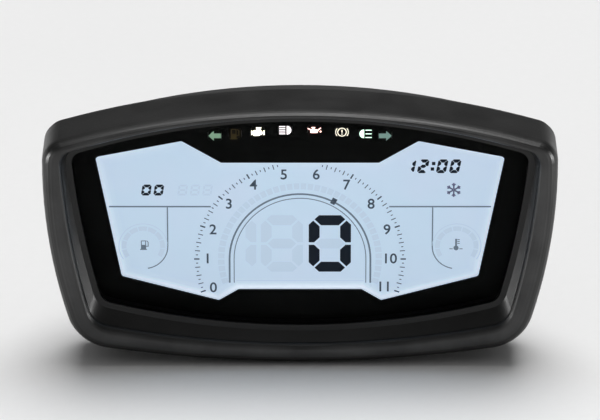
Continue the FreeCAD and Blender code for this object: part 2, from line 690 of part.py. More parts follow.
def chip_passives():
    """Small resistors and capacitors in rows beside the larger parts."""
    rows = [((-58.0, 26.0), (0, -2.4), 4), ((30.0, 0.0), (3.2, 0), 5), ((-38.0, 27.0), (2.6, 0), 4),
            ((-24.0, 1.0), (3.0, 0), 4), ((8.0, 30.0), (3.0, 0), 4), ((-36.0, -11.0), (3.0, 0), 4)]
    made = []
    for (x, z), (dx, dz), count in rows:
        for i in range(count):
            made.append(block((x + dx * i, z + dz * i), (1.25, 2.0), BOARD_BACK_Y, BOARD_BACK_Y + 0.8))
    return made


def flex_connector():
    """The board's clamp for the display's ribbon."""
    body = box((-13, 13), (BOARD_BACK_Y, BOARD_BACK_Y + 2.4), (-17.4, -13.0))
    return body.cut(box((-11.2, 11.2), (BOARD_BACK_Y + 1.1, BOARD_BACK_Y + 1.6), (-18, -15.9)))


def loom_socket():
    """The male connector's shell: a keyed box with a flange behind the rear wall."""
    w, h = SOCKET_SIZE
    flange = plate(rectangle(SOCKET, (46.0, 20.0)), FLOOR_Y - 3.0, FLOOR_Y - 1.0, 2.0)
    body = fuse([plate(rectangle(SOCKET, SOCKET_SIZE), BOARD_BACK_Y, SOCKET_MOUTH_Y, 1.0), flange])
    catch_y = SOCKET_MOUTH_Y - 3.6
    catch = block((SOCKET[0], SOCKET[1] + h / 2 + 0.5), (9.0, 1.0), catch_y, catch_y + 2.0)
    body = fuse([body, catch])
    pocket = plate(rectangle(SOCKET, (w - 3.0, h - 3.0)), SOCKET_FLOOR_Y, SOCKET_MOUTH_Y + 1, 0.6)
    keys = [block((SOCKET[0] + dx, SOCKET[1] + h / 2 - 1.9), (1.6, 1.0), SOCKET_FLOOR_Y, SOCKET_MOUTH_Y)
            for dx in (-14.0, -9.0, 12.0)]
    body = fuse([body.cut(pocket)] + keys)
    return cut(body, [block(p, (1.0, 1.0), BOARD_BACK_Y - 1, SOCKET_FLOOR_Y + 1) for p in pin_places()])


def square(x, y, z, half):
    corners = [at(x + i * half, y, z + j * half) for i, j in ((-1, -1), (1, -1), (1, 1), (-1, 1))]
    return Part.makePolygon(corners + corners[:1])


def loom_pins():
    """The tapered contact blades, soldered through the board."""
    half, point, tail = 0.4, 0.8, 1.2
    made = []
    for x, z in pin_places():
        shank = block((x, z), (2 * half, 2 * half), BOARD_Y - tail, PIN_TIP_Y - point)
        base, tip = square(x, PIN_TIP_Y - point, z, half), square(x, PIN_TIP_Y, z, half / 2)
        made.append(fuse([shank, Part.makeLoft([base, tip], True, True)]))
    return made


def socket_seal():
    outer = plate(rectangle(SOCKET, (45.0, 19.0)), FLOOR_Y - 1.0, FLOOR_Y, 2.0)
    return outer.cut(plate(rectangle(SOCKET, larger(SOCKET_SIZE, 0.6)), FLOOR_Y - 2, FLOOR_Y + 1, 1.2))


# ---------------------------------------------------------------- nodes
NODES = {
    "front_bezel": front_bezel,
    "lens": lens,
    "lens_gasket": lens_gasket,
    "lens_spacer": lens_spacer,
    "dial_mask": dial_mask,
    "tell_tale_windows_green": lambda: tell_tale_windows("green"),
    "tell_tale_windows_amber": lambda: tell_tale_windows("amber"),
    "tell_tale_window_white": lambda: tell_tale_windows("white"),
    "tell_tale_window_red": lambda: tell_tale_windows("red"),
    "tell_tale_diffuser": tell_tale_diffuser,
    "tell_tale_light_box": tell_tale_light_box,
    "tell_tale_leds": tell_tale_leds,
    "lcd_front_polarizer": lcd_front_polarizer,
    "lcd_front_glass": lcd_front_glass,
    "lcd_rear_glass": lcd_rear_glass,
    "lcd_rear_polarizer": lcd_rear_polarizer,
    "lcd_driver_chip": lcd_driver_chip,
    "lcd_flex_cable": lcd_flex_cable,
    "lcd_cushion": lcd_cushion,
    "diffuser_sheet": diffuser_sheet,
    "light_guide": light_guide,
    "reflector_sheet": reflector_sheet,
    "backlight_tray": backlight_tray,
    "backlight_leds": backlight_leds,
    "main_board": main_board,
    "board_screws": board_screws,
    "microcontroller": microcontroller,
    "display_driver": display_driver,
    "bus_transceiver": bus_transceiver,
    "power_regulator": power_regulator,
    "power_inductor": power_inductor,
    "smoothing_capacitors": smoothing_capacitors,
    "quartz_crystal": quartz_crystal,
    "chip_passives": chip_passives,
    "flex_connector": flex_connector,
    "loom_socket": loom_socket,
    "loom_pins": loom_pins,
    "socket_seal": socket_seal,
    "case_gasket": case_gasket,
    "rear_case": rear_case,
    "case_screws": case_screws,
    "vent_membrane": vent_membrane,
    "vent_cap": vent_cap,
    "rating_label": rating_label,
    "isolator_grommets": isolator_grommets,
    "mount_bushes": mount_bushes,
}


def main():
    os.makedirs("parts", exist_ok=True)
    for name, make in NODES.items():
        shape = make()
        if isinstance(shape, list):
            shape = Part.makeCompound(shape)
        if not shape.isValid() or not shape.Solids:
            print("NOT VALID:", name)
        shape.exportStep(f"parts/{name}.step")
        print(f"{name}: {len(shape.Solids)} solids, {shape.Volume / 1000:.2f} cm3")


main()
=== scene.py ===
"""The looks of the instrument cluster, built round its CAD model.

Metres, in the part's own frame: X to the rider's right, Y away from the rider, Z up the face of the display.
Shapes on the face are drawn in millimetres from the centre of the rev counter, x to the right and z up.
"""

import math

import bmesh
import bpy
from mathutils import Matrix, Vector


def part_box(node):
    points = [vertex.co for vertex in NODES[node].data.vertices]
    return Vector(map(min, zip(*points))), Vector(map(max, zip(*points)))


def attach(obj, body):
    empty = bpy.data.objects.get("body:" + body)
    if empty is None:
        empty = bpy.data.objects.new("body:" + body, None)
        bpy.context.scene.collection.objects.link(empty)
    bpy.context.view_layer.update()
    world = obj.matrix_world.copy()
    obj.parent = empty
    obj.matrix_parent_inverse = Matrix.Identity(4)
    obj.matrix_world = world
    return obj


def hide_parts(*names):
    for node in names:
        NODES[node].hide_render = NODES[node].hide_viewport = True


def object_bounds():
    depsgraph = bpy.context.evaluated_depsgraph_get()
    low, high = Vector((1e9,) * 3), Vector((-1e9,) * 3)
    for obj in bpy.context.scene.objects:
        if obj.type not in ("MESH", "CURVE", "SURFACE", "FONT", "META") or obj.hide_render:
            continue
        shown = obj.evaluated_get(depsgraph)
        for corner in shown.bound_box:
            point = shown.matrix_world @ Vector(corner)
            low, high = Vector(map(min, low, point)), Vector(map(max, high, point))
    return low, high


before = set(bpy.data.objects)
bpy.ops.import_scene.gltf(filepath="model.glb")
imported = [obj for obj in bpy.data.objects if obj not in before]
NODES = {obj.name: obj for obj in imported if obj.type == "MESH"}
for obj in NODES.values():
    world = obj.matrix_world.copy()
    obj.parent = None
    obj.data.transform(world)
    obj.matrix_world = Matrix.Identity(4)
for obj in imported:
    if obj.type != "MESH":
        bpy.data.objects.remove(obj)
CAD_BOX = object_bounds()

MM = 0.001
DIAL_Z = -30.0 * MM  # height of the rev counter's centre
FILM_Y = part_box("lcd_front_polarizer")[0].y
MASK_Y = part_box("dial_mask")[0].y
INK = 0.03  # thickness of printed and liquid-crystal shapes, in millimetres
CREST_HIGHLIGHT_DEPTH = 0.8  # how far back from the foremost edge the painted highlight reaches, in millimetres


# ------------------------------------------------------------------ nodes and materials
def put(tree, kind, inputs=None, **settings):
    """Adds a shader node. inputs maps its socket names to values or to the sockets that feed them."""
    made = tree.nodes.new("ShaderNode" + kind)
    for name, value in settings.items():
        setattr(made, name, value)
    for name, value in (inputs or {}).items():
        if isinstance(value, bpy.types.NodeSocket):
            tree.links.new(value, made.inputs[name])
        else:
            made.inputs[name].default_value = value
    return made


def opaque(colour):
    return (*colour, 1.0)


def empty_material(name):
    material = bpy.data.materials.new(name)
    material.use_nodes = True
    material.node_tree.nodes.clear()
    return material, material.node_tree


def place(tree):
    """Positions in the part's frame, which every CAD node and piece shares."""
    return put(tree, "TexCoord").outputs["Object"]


def noise(tree, size, detail=2.0, stretch=(1, 1, 1)):
    """Noise whose features are about this many millimetres across."""
    mapped = put(tree, "Mapping", {"Vector": place(tree), "Scale": stretch}).outputs["Vector"]
    made = put(tree, "TexNoise", {"Vector": mapped, "Scale": 1 / (size * MM), "Detail": detail})
    return made.outputs["Fac"]


def span(tree, value, low, high, start=0.3, end=0.7):
    """The value mapped from start..end to low..high."""
    inputs = {"Value": value, "From Min": start, "From Max": end, "To Min": low, "To Max": high}
    return put(tree, "MapRange", inputs).outputs["Result"]


def mixed_colours(tree, share, first, second):
    """Two colours mixed, where first is a socket."""
    mix = put(tree, "Mix", data_type="RGBA")
    tree.links.new(share, mix.inputs["Factor"])
    tree.links.new(first, mix.inputs["A"])
    mix.inputs["B"].default_value = opaque(second)
    return mix.outputs["Result"]


def blend_colours(tree, share, first, second):
    """The colour at this share of the way from the first to the second."""
    ramp = put(tree, "ValToRGB", {"Fac": share})
    ramp.color_ramp.elements[0].color = opaque(first)
    ramp.color_ramp.elements[1].color = opaque(second)
    return ramp.outputs["Color"]


def shaded(colour, by):
    return tuple(min(1.0, c * by) for c in colour)


def finished(tree, shader):
    put(tree, "OutputMaterial", {"Surface": shader})


def grained(name, colour, roughness, grain=0.35, depth=0.02, patches=14.0, uneven=0.12, metallic=0.0,
            stretch=(1, 1, 1), crest_highlight=None, **extra):
    """A surface with a fine grain in relief, and slow changes in its colour and gloss.

    grain, depth and patches are in millimetres, and uneven is the share by which the colour changes. The
    colour given for the foremost edge is a painted highlight, which lightens that edge as if it caught the
    light."""
    material, tree = empty_material(name)
    slow, fine = noise(tree, patches, 3.0), noise(tree, grain, 2.0, stretch)
    mixed = put(tree, "Math", {0: slow, 1: span(tree, fine, -0.12, 0.12)}, operation="ADD").outputs[0]
    dark, light = shaded(colour, 1 - uneven), shaded(colour, 1 + uneven)
    base = blend_colours(tree, span(tree, mixed, 0, 1), dark, light)
    # Painted highlight: a lighter colour, in patches, along the foremost edge, standing in for light on the
    # crest.
    if crest_highlight:
        foremost = CAD_BOX[0].y
        y = put(tree, "SeparateXYZ", {"Vector": place(tree)}).outputs["Y"]
        edge = span(tree, y, 0, 1, foremost + CREST_HIGHLIGHT_DEPTH * MM, foremost)
        highlight_share = put(tree, "Math", {0: edge, 1: span(tree, slow, 0.4, 1)}, operation="MULTIPLY").outputs[0]
        base = mixed_colours(tree, highlight_share, base, crest_highlight)
    inputs = {"Base Color": base, "Roughness": span(tree, mixed, roughness - 0.05, roughness + 0.07),
              "Metallic": metallic}
    if depth:
        bump = put(tree, "Bump", {"Height": fine, "Distance": depth * MM, "Strength": 0.6})
        inputs["Normal"] = bump.outputs["Normal"]
    inputs.update({key.replace("_", " "): value for key, value in extra.items()})
    finished(tree, put(tree, "BsdfPrincipled", inputs).outputs["BSDF"])
    return material


def glowing(name, colour, light, strength, uneven=0.04, roughness=0.35):
    """A surface that gives its own light, with a faint mottle in its colour."""
    material, tree = empty_material(name)
    base = blend_colours(tree, noise(tree, 9.0, 3.0), shaded(colour, 1 - uneven), shaded(colour, 1 + uneven))
    inputs = {"Base Color": base, "Roughness": roughness, "Emission Color": opaque(light),
              "Emission Strength": strength, "Specular IOR Level": 0.06}
    finished(tree, put(tree, "BsdfPrincipled", inputs).outputs["BSDF"])
    return material


def clear(name, head_on, tint=(1.0, 1.0, 1.0), smear=0.02, shine=1.0):
    """A clear pane with faint smears. It turns back the share head_on of what it meets, and more beyond 60
    degrees. shine is below 1 where it has an anti-glare coating."""
    material, tree = empty_material(name)
    through = put(tree, "BsdfTransparent", {"Color": opaque(tint)}).outputs["BSDF"]
    gloss = span(tree, noise(tree, 18.0, 4.0), 0.01, 0.01 + smear)
    mirror = put(tree, "BsdfGlossy", {"Color": opaque((shine,) * 3), "Roughness": gloss}).outputs["BSDF"]
    facing = put(tree, "LayerWeight", {"Blend": 0.5}).outputs["Facing"]
    share = span(tree, facing, head_on, 0.6, 0.5, 1)
    finished(tree, put(tree, "MixShader", {0: share, 1: through, 2: mirror}).outputs["Shader"])
    return material


# ------------------------------------------------------------------ thin shapes on the face
def polar(radius, degrees, centre=(0.0, 0.0)):
    """A point at an angle clockwise from straight up."""
    turn = math.radians(degrees)
    return centre[0] + radius * math.sin(turn), centre[1] + radius * math.cos(turn)


def sector(inner, outer, start, end, centre=(0.0, 0.0)):
    """Part of a ring between two angles."""
    steps = max(2, round(abs(end - start) / 4))
    angles = [start + (end - start) * i / steps for i in range(steps + 1)]
    return [polar(outer, a, centre) for a in angles] + [polar(inner, a, centre) for a in reversed(angles)]


def arch(inner, outer, foot):
    """A half ring on straight legs, which end at this height."""
    ring = sector(inner, outer, -90, 90)
    half = len(ring) // 2
    return ring[:half] + [(outer, foot), (inner, foot)] + ring[half:] + [(-inner, foot), (-outer, foot)]


def bar(start, end, width):
    """A straight line of this width."""
    (ax, az), (bx, bz) = start, end
    length = math.hypot(bx - ax, bz - az)
    nx, nz = -(bz - az) / length * width / 2, (bx - ax) / length * width / 2
    return [(ax + nx, az + nz), (bx + nx, bz + nz), (bx - nx, bz - nz), (ax - nx, az - nz)]


def rectangle(x0, x1, z0, z1):
    return [(x0, z0), (x1, z0), (x1, z1), (x0, z1)]


def moved(shapes, x, z, scale=1.0):
    """Shapes drawn about the origin, scaled and moved."""
    return [[(x + scale * px, z + scale * pz) for px, pz in points] for points in shapes]


def segments(width, height, stroke, gap, chamfer):
    """The seven segments of a digit with cut corners, as outlines from its lower left corner."""
    w, h, s, g, c = width, height, stroke, gap, chamfer
    top = [(s + g, h - s), ((c + g) / 2, h - (c - g) / 2), (c, h), (w - c, h),
           (w - (c + g) / 2, h - (c - g) / 2), (w - s - g, h - s)]
    left = [((c - g) / 2, h - (c + g) / 2), (s, h - s - g), (s, h / 2 + s / 2 + g), (s / 2, h / 2 + g),
            (0, h / 2 + g), (0, h - c)]
    middle = [(s / 2 + g, h / 2), (s + g, h / 2 + s / 2), (w - s - g, h / 2 + s / 2),
              (w - s / 2 - g, h / 2), (w - s - g, h / 2 - s / 2), (s + g, h / 2 - s / 2)]

    def across(points):
        return [(w - x, z) for x, z in points]

    def down(points):
        return [(x, h - z) for x, z in points]

    return {"a": top, "b": across(left), "c": across(down(left)), "d": down(top), "e": down(left), "f": left,
            "g": middle}


LIT = {"0": "abcdef", "1": "bc", "2": "abged", "8": "abcdefg"}


class Artwork:
    """Thin plates of one material at one depth, put together as one mesh. They stand proud towards the rider,
    or away from the rider where facing is 1."""

    def __init__(self, y, facing=-1):
        self.y, self.facing, self.mesh = y, facing, bmesh.new()

    def add(self, *shapes):
        proud = self.y + self.facing * INK * MM
        for points in shapes:
            front = [self.mesh.verts.new((x * MM, proud, z * MM + DIAL_Z)) for x, z in points]
            back = [self.mesh.verts.new((x * MM, self.y, z * MM + DIAL_Z)) for x, z in points]
            self.mesh.faces.new(front)
            self.mesh.faces.new(list(reversed(back)))
            for i in range(len(points)):
                j = (i + 1) % len(points)
                self.mesh.faces.new([front[j], front[i], back[i], back[j]])

    def colon(self, left, foot, height, stroke, slant):
        """Two square dots."""
        for rise in (0.3 * height, 0.7 * height):
            x, z = left + slant * rise, foot + rise
            self.add(rectangle(x, x + stroke, z - stroke / 2, z + stroke / 2))

    def digits(self, text, left, foot, width, height, stroke, step, slant=0.0, gap=0.16, chamfer=None,
               off=None):
        """Seven-segment digits, with the unlit segments going to another artwork if one is given."""
        shapes = segments(width, height, stroke, gap, chamfer or stroke * 0.6)
        for letter in text:
            if letter == ":":
                self.colon(left, foot, height, stroke, slant)
                left += step * 0.45
                continue
            for key, points in shapes.items():
                placed = [(left + x + slant * z, foot + z) for x, z in points]
                if key in LIT[letter]:
                    self.add(placed)
                elif off:
                    off.add(placed)
            left += step

    def words(self, text, centre, height):
        """Plain numerals, this high, about a point."""
        curve = bpy.data.curves.new("numerals", "FONT")
        curve.body, curve.size, curve.align_x, curve.align_y = text, height / 0.7 * MM, "CENTER", "CENTER"
        curve.extrude, curve.offset, curve.resolution_u = INK / 2 * MM, height * 0.02 * MM, 6
        holder = bpy.data.objects.new("numerals", curve)
        bpy.context.scene.collection.objects.link(holder)
        bpy.context.view_layer.update()
        mesh = bpy.data.meshes.new_from_object(holder.evaluated_get(bpy.context.evaluated_depsgraph_get()))
        spot = Vector((centre[0] * MM, self.y - INK / 2 * MM, centre[1] * MM + DIAL_Z))
        mesh.transform(Matrix.Translation(spot) @ Matrix.Rotation(math.radians(90), 4, "X"))
        self.mesh.from_mesh(mesh)
        bpy.data.objects.remove(holder)
        bpy.data.meshes.remove(mesh)

    def done(self, name, material, slot):
        """Makes the object, which rides with the housing."""
        bmesh.ops.remove_doubles(self.mesh, verts=self.mesh.verts, dist=1e-7)
        return made_from(self.mesh, name, material)


def made_from(mesh, name, material):
    """The finished object of a bmesh."""
    bmesh.ops.recalc_face_normals(mesh, faces=mesh.faces)
    data = bpy.data.meshes.new(name)
    mesh.to_mesh(data)
    mesh.free()
    data.materials.append(material)
    made = bpy.data.objects.new(name, data)
    bpy.context.scene.collection.objects.link(made)
    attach(made, "root")
    return made


# ------------------------------------------------------------------ the display's picture
DISPLAY_HALF = [(26.0, 35.0), (39.0, 42.7), (67.5, 37.0), (59.3, -6.0), (27.0, -14.8), (20.5, -10.8)]
EDGE_GLOW = [0.15, 0.3, 0.55, 1.0, 1.0, 1.0]  # how strongly each side glows, starting from the top notch
SKY = (0.27, 0.34, 0.40)
SKY_LIGHT = (0.44, 0.55, 0.68)
GLOW = 0.90
# The film's rings: how far outside the display's outline each runs, and how white it is.
FILM_RINGS = [(1.5, 1.0), (0.0, 1.0), (-0.7, 0.9), (-1.4, 0.4), (-2.4, 0.1), (-4.0, 0.0)]


def moved_out(outline, by):
    """The outline with every side moved out by this much."""
    moved = []
    for i, (x, z) in enumerate(outline):
        (px, pz), (qx, qz) = outline[i - 1], outline[(i + 1) % len(outline)]
        a = Vector((x - px, z - pz)).normalized()
        b = Vector((qx - x, qz - z)).normalized()
        share = by / (1 + a.dot(b))
        moved.append((x - (a.y + b.y) * share, z + (a.x + b.x) * share))
    return moved


def film_material():
    """Pale blue and mottled, and white where the mesh's "edge" is 1."""
    material, tree = empty_material("display_film")
    edge = put(tree, "Attribute", attribute_name="edge").outputs["Fac"]
    patches = span(tree, noise(tree, 34.0, 2.0), 0, 1, 0.4, 0.6)
    mottled = blend_colours(tree, patches, (SKY[0] * 0.95, SKY[1] * 1.02, SKY[2] * 1.01),
                            (SKY[0] * 1.08, SKY[1] * 0.99, SKY[2] * 1.02))
    inputs = {"Base Color": mixed_colours(tree, edge, mottled, (1.0, 1.0, 1.0)), "Roughness": 0.35,
              "Specular IOR Level": 0.1, "Emission Color": opaque(SKY_LIGHT), "Emission Strength": GLOW}
    finished(tree, put(tree, "BsdfPrincipled", inputs).outputs["BSDF"])
    return material


def display_film():
    """The polarizer. The backlight leaks round its lower and outer edges."""
    outline = DISPLAY_HALF + [(-x, z) for x, z in reversed(DISPLAY_HALF)]
    strengths = [min(before, after) for before, after in zip(EDGE_GLOW, EDGE_GLOW[1:])]
    strengths = [EDGE_GLOW[0]] + strengths
    strengths += strengths[::-1]
    low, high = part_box("lcd_front_polarizer")
    mesh = bmesh.new()
    layer = mesh.verts.layers.float.new("edge")

    def loop(by, edge, y):
        verts = [mesh.verts.new((x * MM, y, z * MM + DIAL_Z)) for x, z in moved_out(outline, by)]
        for vert, strength in zip(verts, strengths):
            vert[layer] = edge * strength
        return verts

    loops = [loop(by, edge, low.y) for by, edge in FILM_RINGS]
    back = loop(FILM_RINGS[0][0], 1.0, high.y)
    for outer, inner in [(back, loops[0])] + list(zip(loops, loops[1:])):
        for i in range(len(outer)):
            j = (i + 1) % len(outer)
            mesh.faces.new([outer[i], outer[j], inner[j], inner[i]])
    mesh.faces.new(loops[-1])
    mesh.faces.new(list(reversed(back)))
    made = made_from(mesh, "display_film", film_material())
    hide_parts("lcd_front_polarizer")


ARCH_R = 23.4  # radius of the arch round the speed
ARCH_FOOT = -8.6  # where its legs end
SCALE_R = 30.7  # radius of the rev counter's numbers
SCALE_START = -110  # the angle of its 0, in degrees clockwise from straight up
SCALE_STEP = 20  # degrees between its numbers
NUMERAL_HEIGHT = 3.5
TICKS = [(33.4, 35.2, 0.5), (33.3, 35.0, 0.3), (33.9, 34.6, 0.3)]  # inner and outer radius and width
NOTCH_Z = 34.3  # marks stay below the notch for the warning lights
SPEED_X = 2.9  # left side of the speed's last digit
SPEED_STEP = 15.9  # from digit to digit
GAUGE_CENTRE = (52.0, 4.6)  # of the fuel and temperature gauges, on either side
GAUGE_R = 8.1


def tick(target, angle, kind):
    inner, outer, width = TICKS[kind]
    tip = polar(outer, angle)
    if tip[1] < NOTCH_Z:
        target.add(bar(polar(inner, angle), tip, width))


def rev_counter(lines, thin, faint):
    for radius, width in ((ARCH_R, 0.6), (ARCH_R - 1.5, 0.3)):
        lines.add(arch(radius - width / 2, radius + width / 2, ARCH_FOOT))
    faint.add(bar((2.2 - ARCH_R, -7.8), (ARCH_R - 2.2, -7.8), 0.3))
    thin.add(sector(ARCH_R - 0.9, ARCH_R + 1.3, 26.2, 30.2))
    for number in range(12):
        angle = SCALE_START + SCALE_STEP * number
        inwards = 0.9 if number > 9 else 0.0
        thin.words(str(number), polar(SCALE_R - inwards, angle), NUMERAL_HEIGHT)
        tick(thin, angle, 0)
    for step in range(11 * 8 + 1):
        angle = SCALE_START + SCALE_STEP / 8 * step
        if step % 8:
            tick(thin, angle, 1 + step % 2)
        if step % 2 == 0 and step < 11 * 8:
            faint.add(sector(ARCH_R + 1.7, ARCH_R + 3.9, angle + 0.5, angle + 4.5))


def speed(bold, faint):
    digit = dict(foot=-4.6, width=14.0, height=20.4, stroke=3.6, step=SPEED_STEP, gap=0.45, chamfer=3.4)
    bold.digits("0", SPEED_X, off=faint, **digit)
    faint.digits("8", SPEED_X - SPEED_STEP, **digit)
    faint.digits("1", SPEED_X - 31.4, **digit)


def clock_and_trip(bold, faint):
    bold.digits("12:00", 34.2, foot=30.9, width=3.3, height=4.9, stroke=1.15, step=4.3, slant=0.2, gap=0.08)
    trip = dict(foot=22.9, width=3.1, height=3.9, step=4.1, slant=0.15)
    bold.digits("00", -52.6, stroke=1.0, gap=0.08, **trip)
    faint.digits("888", -40.6, stroke=0.7, **trip)


def side_panel(side, lines, faint):
    """A panel's divider, the line that runs down from it round its gauge, and the gauge's unlit bars."""
    x, z = side * GAUGE_CENTRE[0], GAUGE_CENTRE[1]
    edge = x - side * GAUGE_R
    lines.add(bar((side * 29.5, 18.9), (side * 63.2, 18.9), 0.5), bar((edge, z), (edge, 18.6), 0.42))
    lines.add(sector(GAUGE_R - 0.18, GAUGE_R + 0.18, side * -90, side * -170, (x, z)))
    for i in range(9):
        start = -125 + i * 28
        faint.add(sector(5.6, 7.2, side * (start + 1.5), side * (start + 26.5), (x, z)))
    faint.add(sector(GAUGE_R - 0.15, GAUGE_R + 0.15, side * -88, side * 125, (x, z)))


def fuel_symbol():
    """A fuel pump with its hose."""
    return [
        rectangle(-1.2, 0.5, -1.6, -0.1), rectangle(-1.2, -0.9, -0.1, 1.5), rectangle(0.2, 0.5, -0.1, 1.5),
        rectangle(-0.9, 0.2, 1.2, 1.5), bar((0.5, -0.6), (1.1, -0.6), 0.25),
        bar((1.2, -0.72), (1.2, 0.9), 0.28), bar((1.2, 0.9), (0.7, 1.4), 0.28),
        rectangle(-1.5, 0.8, -1.9, -1.6),
    ]


def thermometer_symbol():
    shapes = [rectangle(-0.32, 0.32, -0.4, 2.3), sector(0.0, 0.85, 1, 359, (0, -1.0))]
    shapes += [rectangle(0.42, 1.2, 0.5 + i * 0.7, 0.78 + i * 0.7) for i in range(3)]
    return shapes + [bar((side * 1.1, -1.3), (side * 2.2, -1.3), 0.28) for side in (-1, 1)]


def snowflake_symbol():
    shapes = []
    for turn in range(0, 360, 60):
        shapes.append(bar(polar(0.1, turn), polar(2.5, turn), 0.5))
        root = polar(1.4, turn)
        shapes += [bar(root, polar(0.95, turn + lean, root), 0.36) for lean in (-38, 38)]
    return shapes


def display_picture():
    bold, lines, thin, faint = (Artwork(FILM_Y) for _ in range(4))
    rev_counter(lines, thin, faint)
    speed(bold, faint)
    clock_and_trip(bold, faint)
    cold = Artwork(FILM_Y)
    cold.add(*moved(snowflake_symbol(), 50.8, 24.9))
    for side in (-1, 1):
        side_panel(side, lines, faint)
    lines.add(*moved(fuel_symbol(), -51.6, 5.2))
    lines.add(*moved(thermometer_symbol(), 51.8, 5.0))
    art = [
        ("bold", bold, (0.004, 0.009, 0.020), 0.015),
        ("lines", lines, (0.085, 0.13, 0.18), 0.2),
        ("thin", thin, (0.03, 0.055, 0.09), 0.08),
        ("cold", cold, (0.09, 0.08, 0.22), 0.12),
        ("faint", faint, shaded(SKY, 0.92), GLOW * 0.93),
    ]
    for name, shapes, colour, strength in art:
        material = glowing("segment_" + name, colour, SKY_LIGHT, strength, roughness=0.4)
        shapes.done("display_segments_" + name, material, "display_film")


# ------------------------------------------------------------------ warning lights
SYMBOL_SCALE = 1.08


def arrow(side):
    outline = [(2.0, 0), (0.3, 1.6), (0.3, 0.75), (-1.9, 0.75), (-1.9, -0.75), (0.3, -0.75), (0.3, -1.6)]
    return [[(side * x, z) for x, z in outline]]


def engine():
    return [
        [(-1.35, -1.2), (-1.35, 0.6), (-0.75, 0.6), (-0.35, 0.95), (0.85, 0.95), (0.85, 0.45), (1.2, 0.45),
         (1.2, -0.85), (0.65, -0.85), (0.3, -1.2)],
        rectangle(-1.75, -1.35, -0.5, 0.1), rectangle(-2.05, -1.75, -0.9, 0.5),
        rectangle(1.2, 1.6, -0.4, 0.0), rectangle(1.6, 2.0, -0.9, 0.5),
        rectangle(-0.05, 0.45, 0.95, 1.25), rectangle(-0.6, 1.0, 1.25, 1.55),
    ]


def lamp(side, rays):
    """A lamp's half-round lens and its rays."""
    shapes = [[(side * x, z) for x, z in sector(0.0, 1.4, 0, 180, (0.3, 0))]]
    for i in range(rays):
        z = 1.2 - 2.4 * i / (rays - 1)
        shapes.append(rectangle(*sorted((side * -2.0, side * -0.1)), z - 0.13, z + 0.13))
    return shapes


def oil_can():
    return [
        [(-1.2, -0.9), (0.9, -0.9), (1.3, 0.1), (0.9, 0.1), (0.5, 0.3), (-1.2, 0.3)],
        bar((0.95, -0.1), (2.0, 0.75), 0.3), rectangle(-0.6, 0.0, 0.3, 0.75), rectangle(-0.9, 0.3, 0.75, 1.0),
        bar((-1.2, 0.2), (-2.0, 0.6), 0.3), sector(0.0, 0.28, 0, 359, (1.9, -0.45)),
    ]


def caution():
    shapes = [sector(1.15, 1.45, 0, 359), rectangle(-0.18, 0.18, -0.15, 0.8),
              rectangle(-0.18, 0.18, -0.8, -0.45)]
    return shapes + [sector(1.8, 2.05, side * 50, side * 130) for side in (-1, 1)]


WARNING_LIGHTS = [
    # name, slot, x, z, symbol, colour of its light, strength
    ("turn_left", "green_window", -28.0, 44.6, arrow(-1), (0.22, 0.36, 0.25), 0.45),
    ("fuel_low", "amber_window", -21.4, 45.3, moved(fuel_symbol(), 0, 0.1), (0.060, 0.045, 0.018), 0.08),
    ("engine_fault", "amber_window", -13.8, 45.9, engine(), (1.0, 0.94, 0.74), 3.0),
    ("high_beam", "white_window", -4.7, 46.6, lamp(1, 5), (0.86, 0.80, 0.82), 1.5),
    ("oil_pressure", "red_window", 4.7, 46.6, oil_can(), (1.0, 0.60, 0.54), 2.4),
    ("brake_system", "amber_window", 13.8, 45.9, caution(), (0.72, 0.66, 0.54), 1.3),
    ("side_lights", "green_window", 21.4, 45.3, lamp(-1, 3), (0.66, 0.95, 0.78), 1.6),
    ("turn_right", "green_window", 28.0, 44.6, arrow(1), (0.20, 0.33, 0.29), 0.45),
]


def warning_lights():
    for name, slot, x, z, shapes, colour, strength in WARNING_LIGHTS:
        art = Artwork(MASK_Y)
        art.add(*moved(shapes, x, z, SYMBOL_SCALE))
        art.done("symbol_" + name, glowing("light_" + name, colour, colour, strength), slot)


# ------------------------------------------------------------------ marks on the back
EJECTOR_MARKS = [(21.0, 44.0), (21.0, 35.0), (37.0, 42.0), (37.0, 21.0), (55.0, 5.0), (20.0, -18.0),
                 (52.0, -17.0)]  # on either side
TOOL_DIAL = (-56.0, 5.0)
LABEL_DEPTH = 0.25  # how far the label's face lies below the rear wall's


def moulding_marks(wall_y):
    """Ejector marks, and the twelve ticks of a tool dial."""
    marks = Artwork(wall_y, 1)
    for x, z in EJECTOR_MARKS:
        for side in (-1, 1):
            marks.add(sector(1.5, 1.8, 0, 359.9, (side * x, z)))
    for turn in range(0, 360, 30):
        marks.add(bar(polar(2.4, turn, TOOL_DIAL), polar(3.1, turn, TOOL_DIAL), 0.25))
    plastic = grained("moulding_marks", (0.026, 0.026, 0.026), 0.32, grain=0.5)
    marks.done("moulding_marks", plastic, "housing")


def label_print(low, high):
    """A printed frame with two rows' lines and one column's."""
    art = Artwork(high.y, 1)
    x0, x1 = low.x / MM + 1.2, high.x / MM - 1.2
    z0, z1 = (low.z - DIAL_Z) / MM + 1.2, (high.z - DIAL_Z) / MM - 1.2
    for z in (z0, z1, z0 + 4.0, z0 + 8.0):
        art.add(rectangle(x0, x1, z - 0.12, z + 0.12))
    for x in (x0, x1, x0 + 11.0):
        art.add(rectangle(x - 0.12, x + 0.12, z0, z1))
    art.done("label_print", grained("label_print", (0.03, 0.03, 0.035), 0.5), "label_film")


def back_marks():
    low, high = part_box("rating_label")
    moulding_marks(high.y + LABEL_DEPTH * MM)
    label_print(low, high)


# ------------------------------------------------------------------ materials of the CAD nodes
def paint(material, *names):
    for name in names:
        node = NODES[name]
        node.data.materials.clear()
        node.data.materials.append(material)


